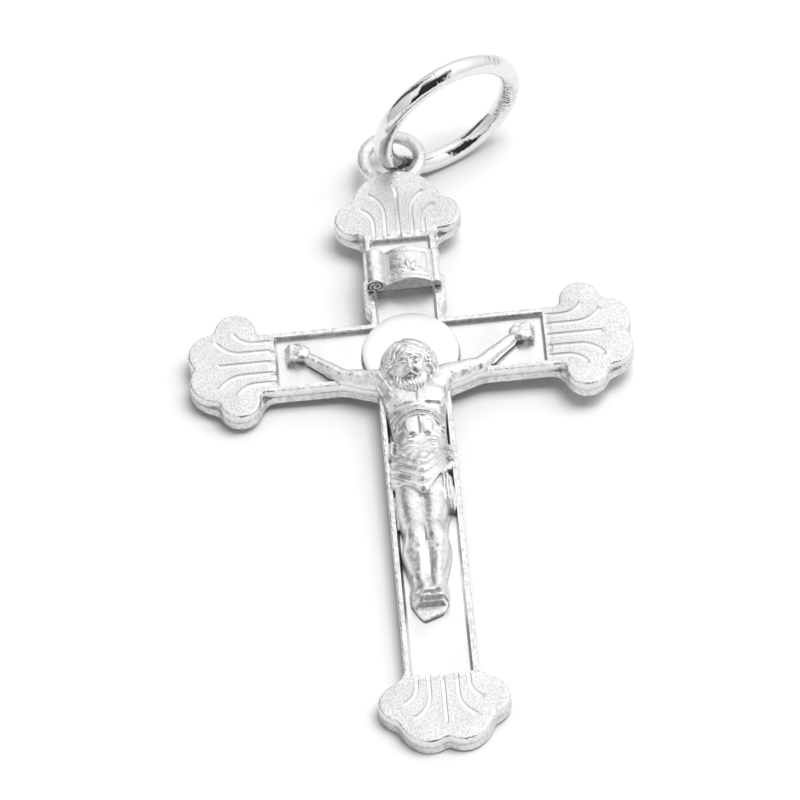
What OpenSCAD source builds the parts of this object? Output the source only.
// Crucifix pendant: one cast cross with its figure in relief, and the jump ring in its eye.
// X runs across the cross, Y up it, Z out of its face. The back lies on Z = 0 and the origin
// is where the middle lines of the two bars cross.

/* [Cross] */
// Width across the two side shells
cross_w = 22; // [20:0.5:28]
// Crossing to the top of the upper shell
top_reach = 11.3; // [10.8:0.1:14]
// Crossing to the foot of the lower shell
foot_reach = 23.3; // [22:0.1:30]
// Width of the bars
bar_w = 3.6; // [3.2:0.1:4]
// Thickness of the plate
plate_t = 1.05; // [0.8:0.05:1.6]
// Width of the raised rim along the bars
rim_w = 0.32; // [0.2:0.02:0.5]
// Depth of the sunk field inside the rim
field_d = 0.3; // [0.15:0.05:0.4]
// Length of the web that widens the cross under each upper arm of the figure
gusset_l = 1.65; // [1:0.05:2.4]
// Depth of that web below the cross arm
gusset_h = 0.55; // [0.2:0.05:0.9]
// How far the bar swells on both sides below the title scroll
swell = 0.25; // [0.05:0.01:0.4]

/* [Shell ends] */
// Length of a side shell, from the sunk field to its end
side_shell_l = 4.35; // [4.1:0.05:5]
// Length of the upper shell
top_shell_l = 4.35; // [4.1:0.05:5]
// Length of the lower shell
foot_shell_l = 3.9; // [3.8:0.05:5]
// Width of every shell across its side lobes
shell_w = 6.36; // [6:0.02:7]
// Radius of a side lobe
lobe_r = 1.03; // [0.9:0.01:1.2]
// How far a side lobe's centre stands back from the end, on the side and lower shells
lobe_back = 2.42; // [2.2:0.02:2.7]
// The same on the upper shell
top_lobe_back = 2.88; // [2.7:0.02:3.1]
// Radius of the two end lobes of a side or lower shell
end_r = 1.25; // [1.1:0.01:1.5]
// How far an end lobe's centre stands beside the middle line
end_out = 0.82; // [0.6:0.01:1]
// Radius of the upper shell's single round end
dome_r = 2.3; // [2:0.05:2.6]
// Width of the small web between a side lobe and the bar
web_w = 0.22; // [0.05:0.01:0.3]
// The same on the lower shell
foot_web_w = 0.45; // [0.2:0.01:0.48]
// The same in the back half of the plate, where every web is larger
low_web_w = 0.5; // [0.49:0.01:0.8]
// Length of a shell's middle flute
flute_l = 2.5; // [2:0.1:3]
// Width of an engraved flute
flute_w = 0.2; // [0.1:0.01:0.3]
// Depth of an engraved flute
flute_d = 0.1; // [0.05:0.01:0.2]

/* [Halo and title] */
// Diameter of the halo disc
halo_d = 4.82; // [4.2:0.02:5.2]
// How far the halo's centre lies below the crossing
halo_drop = 0.22; // [0:0.02:0.6]
// How far the halo stands above the rim
halo_rise = 0.06; // [0.02:0.01:0.2]
// Width of the title scroll over its rolled ends
title_w = 3.84; // [3.2:0.02:4.2]
// Length of the title scroll along the cross
title_l = 2.05; // [1.5:0.05:2.6]
// Crossing to the scroll's lower edge
title_at = 3.72; // [3:0.02:4.2]
// Height of the scroll's crown above the rim
title_rise = 0.9; // [0.5:0.05:1.2]
// Diameter of the scroll's larger rolled end
roll_d = 1.04; // [0.8:0.02:1.2]
// Diameter of its smaller rolled end
small_roll_d = 0.56; // [0.4:0.02:0.8]
// How far the larger roll stands above the crown
roll_rise = 0.02; // [0:0.01:0.1]

/* [Figure] */
// Length that the figure's sections are shares of, from the crown to just past the toes
figure_l = 16.6; // [14:0.1:18]
// Width of the figure's chest
chest_w = 3.32; // [2.8:0.02:3.5]
// Crossing to the middle of each hand
hand_reach = 5.85; // [5:0.05:6.1]
// Height of the relief at the chest, above the sunk field
relief_h = 1.3; // [0.9:0.05:1.6]
// How far a fold of the loincloth stands proud
fold_rise = 0.1; // [0.04:0.01:0.2]

/* [Eye and jump ring] */
// Diameter of the eye's hole
eye_hole_d = 2.12; // [2.1:0.02:2.6]
// Thickness of the eye's round rim
eye_rim_d = 0.7; // [0.5:0.02:0.72]
// Top of the upper shell to the centre of the eye
eye_out = 1.1; // [1.08:0.02:1.3]
// Height of the eye's middle above the back
eye_z = 0.6; // [0.45:0.01:0.66]
// Outer diameter of the jump ring
ring_d = 8.4; // [8:0.1:10]
// Thickness of the jump ring's wire
wire_d = 1.02; // [0.8:0.01:1.04]
// Turn of the ring about the upright, from the line of the cross arms
ring_turn = 25.5; // [22:0.1:28]
// Lean of the standing ring towards the cross
ring_lean = 6.3; // [3:0.1:7]
// Height angle of the ring's centre over the eye
ring_climb = 37.5; // [36.5:0.1:39]

/* [Hidden] */
$fn = 64;

half_bar = bar_w / 2;
field_z = plate_t - field_d;
field_half = half_bar - rim_w;
side_field = cross_w / 2 - side_shell_l;
top_field = top_reach - top_shell_l;
foot_field = foot_reach - foot_shell_l;
lobe_out = shell_w / 2 - lobe_r;
// Tapers of the swelling below the title, in swells: where it starts, and where it is full
SWELL_START = 5.2;
SWELL_FULL = 3.2;
// The scroll's crown, in title widths: its radius, and how far it stands to the right
CROWN_R = 0.455;
CROWN_SHIFT = 0.075;
// Half width of the larger roll's foot and height of the smaller roll's centre, in roll diameters
ROLL_FOOT = 0.3;
ROLL_LIFT = 0.45;
// Depth to which a raised form roots in the plate
root = 0.2;
// Height of the plate's lower layer, up to the parting line
ledge_z = plate_t / 2;
// Height added above a cut so that it leaves no skin
clear = 1;
// Gap between the ring's wire and the side of the hole towards the cross, in the ring's tilt
near_gap = 0.14;
// How far the wire stands to the side of the hole's middle
side_gap = 0.07;

// The four ends: [turn, reach, setback of the side lobes, end of the sunk field, web]
ENDS = [
    [0, cross_w / 2, lobe_back, side_field, web_w],
    [180, cross_w / 2, lobe_back, side_field, web_w],
    [270, foot_reach, lobe_back, foot_field, foot_web_w],
    [90, top_reach, top_lobe_back, top_field, web_w]
];
UPPER_END = 90;
// Gap from the sunk field to where the flutes start
flute_in = rim_w;
// Flutes beside the middle one, each made twice:
// [offset in bar widths, straight length, bend radius in flute lengths, angle of the bend]
FLUTES = [
    [0.19, 0.44, 0.48, 58],
    [0.35, 0.23, 0.36, 60]
];
BEND_STEPS = 5;

// Outline of one shell end that points along +X from the crossing
module shell(reach, back, one_dome) {
    for (side = [-1, 1]) {
        translate([reach - back, side * lobe_out])
            circle(r = lobe_r);
        if (!one_dome)
            translate([reach - end_r, side * end_out])
                circle(r = end_r);
    }
    if (one_dome)
        translate([reach - dome_r, 0])
            circle(r = dome_r);
}

// Webs in the two corners between a shell's side lobes and the bar
module webs(reach, back, w) {
    inner = reach - back - lobe_r;
    for (side = [-1, 1])
        polygon([
            [inner - w, side * (half_bar - root)],
            [inner - w, side * half_bar],
            [inner, side * (lobe_out + w / 2)],
            [inner + lobe_r, side * lobe_out],
            [inner + lobe_r, side * (half_bar - root)]
        ]);
}

// Straight bars of the cross, up to the widest part of each shell
module bars() {
    reach = cross_w / 2 - end_r;
    translate([-reach, -half_bar])
        square([2 * reach, bar_w]);
    translate([-half_bar, end_r - foot_reach])
        square([bar_w, foot_reach + top_reach - end_r - dome_r]);
}

// Webs under the figure's upper arms, and the swelling of the bar below the title
module side_webs() {
    for (side = [-1, 1]) {
        polygon([
            [side * (half_bar - root), root - half_bar],
            [side * (half_bar + gusset_l), root - half_bar],
            [side * (half_bar + gusset_l), -half_bar],
            [side * half_bar, -half_bar - gusset_h],
            [side * (half_bar - root), -half_bar - gusset_h]
        ]);
        polygon([
            [side * (half_bar - root), title_at - SWELL_START * swell],
            [side * (half_bar + swell), title_at - SWELL_FULL * swell],
            [side * (half_bar + swell), title_at + title_l / 3],
            [side * (half_bar - root), title_at + title_l * 2 / 3]
        ]);
    }
}

module outline() {
    bars();
    side_webs();
    for (e = ENDS)
        rotate(e[0]) {
            shell(e[1], e[2], e[0] == UPPER_END);
            webs(e[1], e[2], e[4]);
        }
}

// Sunk field in the shape of a cross
module field() {
    translate([-side_field, -field_half])
        square([2 * side_field, 2 * field_half]);
    translate([-field_half, -foot_field])
        square([2 * field_half, foot_field + top_field]);
}

// Middle line of a bent flute that starts at the origin along +X and turns towards +Y
function bend_points(straight, r, angle) = concat(
    [[0, 0, 0]],
    [for (k = [0:BEND_STEPS])
        let (a = angle * k / BEND_STEPS)
        [straight + r * sin(a), r * (1 - cos(a)), a]]
);

// A strip of the flute's width along such a line
module bent_flute(straight, r, angle) {
    line = bend_points(straight, r, angle);
    half = flute_w / 2;
    left = [for (p = line) [p[0] - half * sin(p[2]), p[1] + half * cos(p[2])]];
    right = [for (p = line) [p[0] + half * sin(p[2]), p[1] - half * cos(p[2])]];
    polygon(concat(left, [for (k = [len(right) - 1:-1:0]) right[k]]));
}

module flutes() {
    for (e = ENDS)
        rotate(e[0])
            translate([e[3] + flute_in, 0]) {
                translate([0, -flute_w / 2])
                    square([flute_l, flute_w]);
                for (f = FLUTES, flip = [0, 1])
                    mirror([0, flip])
                        translate([0, f[0] * bar_w])
                            bent_flute(f[1] * flute_l, f[2] * flute_l, f[3]);
            }
}

module plate() {
    difference() {
        union() {
            linear_extrude(height = plate_t)
                outline();
            linear_extrude(height = ledge_z)
                for (e = ENDS)
                    rotate(e[0])
                        webs(e[1], e[2], low_web_w);
        }
        translate([0, 0, field_z])
            linear_extrude(height = field_d + clear)
                field();
        translate([0, 0, plate_t - flute_d])
            linear_extrude(height = flute_d + clear)
                flutes();
    }
}

module halo() {
    translate([0, -halo_drop, field_z - root])
        cylinder(d = halo_d, h = plate_t + halo_rise - field_z + root, $fn = 96);
}

// Section of the title scroll in X and Z: a crowned sheet between two rolled ends
module scroll_section() {
    crown_z = plate_t + title_rise;
    crown_r = title_w * CROWN_R;
    left = -title_w / 2 + roll_d / 2;
    right = title_w / 2 - small_roll_d / 2;
    intersection() {
        translate([title_w * CROWN_SHIFT, crown_z - crown_r])
            circle(r = crown_r);
        translate([left, field_z - root])
            square([right - left, crown_z]);
    }
    translate([-field_half - root, field_z - root])
        square([2 * (field_half + root), field_d + root]);
    translate([left, crown_z + roll_rise - roll_d / 2])
        circle(d = roll_d);
    translate([left - roll_d * ROLL_FOOT, plate_t - root])
        square([2 * roll_d * ROLL_FOOT, title_rise / 2 + root]);
    translate([right, plate_t + small_roll_d * ROLL_LIFT])
        circle(d = small_roll_d);
}

module title() {
    translate([0, title_at + title_l, 0])
        rotate([90, 0, 0])
            linear_extrude(height = title_l)
                scroll_section();
}

module eye() {
    translate([0, top_reach + eye_out, eye_z])
        rotate_extrude($fn = 96)
            translate([(eye_hole_d + eye_rim_d) / 2, 0])
                circle(d = eye_rim_d, $fn = 32);
}

// The figure's parts as low relief: rows of sections along the figure. Each row is
// [way down the figure, middle, half width, height], as shares of the figure's length,
// of the chest's width twice, and of the relief's height.
HAIR = [
    [0, 0, 0.09, 0.77],
    [0.009, -0.01, 0.2, 1.04],
    [0.03, -0.03, 0.31, 1.27],
    [0.06, -0.05, 0.375, 1.42],
    [0.096, -0.06, 0.4, 1.42],
    [0.133, -0.06, 0.375, 1.27],
    [0.169, -0.06, 0.3, 1.08],
    [0.2, -0.055, 0.16, 0.92]
];
FACE = [
    [0.03, -0.01, 0.12, 1.27],
    [0.048, -0.015, 0.2, 1.5],
    [0.075, -0.02, 0.232, 1.65],
    [0.102, -0.025, 0.23, 1.68],
    [0.127, -0.03, 0.205, 1.68],
    [0.151, -0.035, 0.15, 1.6],
    [0.175, -0.04, 0.1, 1.36],
    [0.192, -0.04, 0.045, 1.08]
];
NOSE = [
    [0.09, -0.023, 0.03, 1.66],
    [0.103, -0.025, 0.045, 1.78],
    [0.117, -0.028, 0.055, 1.86],
    [0.122, -0.029, 0.03, 1.66]
];
TORSO = [
    [0.13, 0, 0.36, 0.6],
    [0.151, 0, 0.5, 0.84],
    [0.199, 0, 0.497, 1],
    [0.259, 0, 0.452, 1],
    [0.319, 0, 0.43, 0.8],
    [0.373, 0, 0.443, 0.85],
    [0.416, 0.01, 0.485, 0.98],
    [0.476, 0.01, 0.49, 1.08],
    [0.53, -0.01, 0.45, 1],
    [0.56, -0.01, 0.38, 0.75]
];
LEFT_LEG = [
    [0.494, -0.21, 0.22, 0.9],
    [0.578, -0.217, 0.205, 0.92],
    [0.645, -0.21, 0.2, 1],
    [0.699, -0.2, 0.185, 1.12],
    [0.747, -0.21, 0.19, 0.95],
    [0.807, -0.2, 0.17, 0.85],
    [0.861, -0.165, 0.14, 0.8],
    [0.904, -0.15, 0.14, 0.85]
];
RIGHT_LEG = [
    [0.494, 0.2, 0.21, 0.9],
    [0.578, 0.2, 0.195, 0.92],
    [0.645, 0.165, 0.168, 0.98],
    [0.699, 0.14, 0.15, 1.08],
    [0.747, 0.155, 0.165, 0.93],
    [0.807, 0.12, 0.14, 0.83],
    [0.861, 0.07, 0.12, 0.78],
    [0.904, 0.05, 0.13, 0.85]
];
FEET = [
    [0.88, -0.05, 0.2, 0.7],
    [0.916, -0.085, 0.295, 0.88],
    [0.95, -0.08, 0.27, 0.93],
    [0.975, -0.05, 0.2, 0.84]
];
LEFT_TAIL = [
    [0.49, -0.42, 0.07, 0.55],
    [0.55, -0.44, 0.09, 0.62],
    [0.61, -0.43, 0.08, 0.5],
    [0.64, -0.42, 0.04, 0.3]
];
RIGHT_TAIL = [
    [0.47, 0.44, 0.07, 0.6],
    [0.52, 0.43, 0.1, 0.66],
    [0.57, 0.4, 0.08, 0.5],
    [0.595, 0.4, 0.04, 0.3]
];
// The arms run outwards: [way out, way up, both as shares of the hand's reach,
// half width in chest widths, height in relief heights]
ARM = [
    [0.2, -0.36, 0.19, 0.84],
    [0.359, -0.316, 0.187, 0.85],
    [0.513, -0.256, 0.151, 0.73],
    [0.615, -0.197, 0.13, 0.66],
    [0.735, -0.094, 0.111, 0.62],
    [0.846, 0, 0.099, 0.56],
    [0.932, 0.051, 0.136, 0.58],
    [1.009, 0.068, 0.151, 0.54],
    [1.085, 0.085, 0.09, 0.31]
];
// Loincloth folds: [way down the figure at the hips, sag in the middle as the same share]
FOLDS = [
    [0.415, 0.02],
    [0.437, 0.035],
    [0.458, 0.05],
    [0.478, 0.062]
];
// Reach of a fold in half widths of the hips, and its own half width in chest widths
FOLD_REACH = 0.94;
FOLD_HALF = 0.036;
FOLD_STEPS = 8;
SECTION_STEPS = 12;

// Rows of a table down the figure as [x, y, half width, height] in millimetres
function down(table) = [for (r = table)
    [r[1] * chest_w, -r[0] * figure_l, r[2] * chest_w, r[3] * relief_h]];

// Rows of the arm table, from the shoulder outwards
function outward(table) = [for (r = table)
    [r[0] * hand_reach, r[1] * hand_reach, r[2] * chest_w, r[3] * relief_h]];

// Height of the torso's middle at a share of the figure's length
function torso_h(s) = relief_h * lookup(s, [for (r = TORSO) [r[0], r[3]]]);
function torso_half(s) = chest_w * lookup(s, [for (r = TORSO) [r[0], r[2]]]);

// One fold as rows across the hips
function fold_rows(f) = [for (k = [-FOLD_STEPS:FOLD_STEPS])
    let (
        u = FOLD_REACH * k / FOLD_STEPS,
        s = f[0] + f[1] * (1 - u * u),
        rise = sqrt(1 - u * u)
    )
    [u * torso_half(s), -s * figure_l, FOLD_HALF * chest_w, torso_h(s) * rise + fold_rise]];

// Section number i of a relief form: a half ellipse over a root in the plate,
// square to the line through the neighbouring rows
function section(rows, i) = let (
        a = rows[max(i - 1, 0)],
        b = rows[min(i + 1, len(rows) - 1)],
        turn = atan2(b[1] - a[1], b[0] - a[0]),
        r = rows[i],
        edge = function(t, z) [r[0] - r[2] * t * sin(turn), r[1] + r[2] * t * cos(turn), z]
    )
    concat(
        [for (k = [0:SECTION_STEPS])
            let (t = 180 * k / SECTION_STEPS)
            edge(cos(t), field_z + r[3] * sin(t))],
        [edge(-1, field_z - root), edge(1, field_z - root)]
    );

// Closed solid through all the sections of a relief form
module relief(rows) {
    m = SECTION_STEPS + 3;
    n = len(rows);
    polyhedron(
        points = [for (i = [0:n - 1]) each section(rows, i)],
        faces = concat(
            [[for (j = [0:m - 1]) j]],
            [[for (j = [m - 1:-1:0]) (n - 1) * m + j]],
            [for (i = [0:n - 2], j = [0:m - 1])
                [i * m + j, (i + 1) * m + j, (i + 1) * m + (j + 1) % m, i * m + (j + 1) % m]]
        )
    );
}

module figure() {
    for (table = [HAIR, FACE, NOSE, TORSO, LEFT_LEG, RIGHT_LEG, FEET, LEFT_TAIL, RIGHT_TAIL])
        relief(down(table));
    for (f = FOLDS)
        relief(fold_rows(f));
    for (flip = [0, 1])
        mirror([flip, 0, 0])
            relief(outward(ARM));
}

module crucifix() {
    color("gainsboro") {
        plate();
        halo();
        title();
        eye();
        figure();
    }
}

// The ring stands in the eye: its wire passes down through the hole, near the side
// towards the cross, and out under the rim
module jump_ring() {
    ring_r = (ring_d - wire_d) / 2;
    near = (eye_hole_d - wire_d) / 2 - near_gap;
    away = ring_r + side_gap;
    color("silver")
        translate([0, top_reach + eye_out, eye_z])
            rotate([ring_lean, 0, ring_turn])
                translate([away * cos(ring_climb), -near, away * sin(ring_climb)])
                    rotate([90, 0, 0])
                        rotate_extrude($fn = 96)
                            translate([ring_r, 0])
                                circle(d = wire_d, $fn = 32);
}

crucifix();
jump_ring();
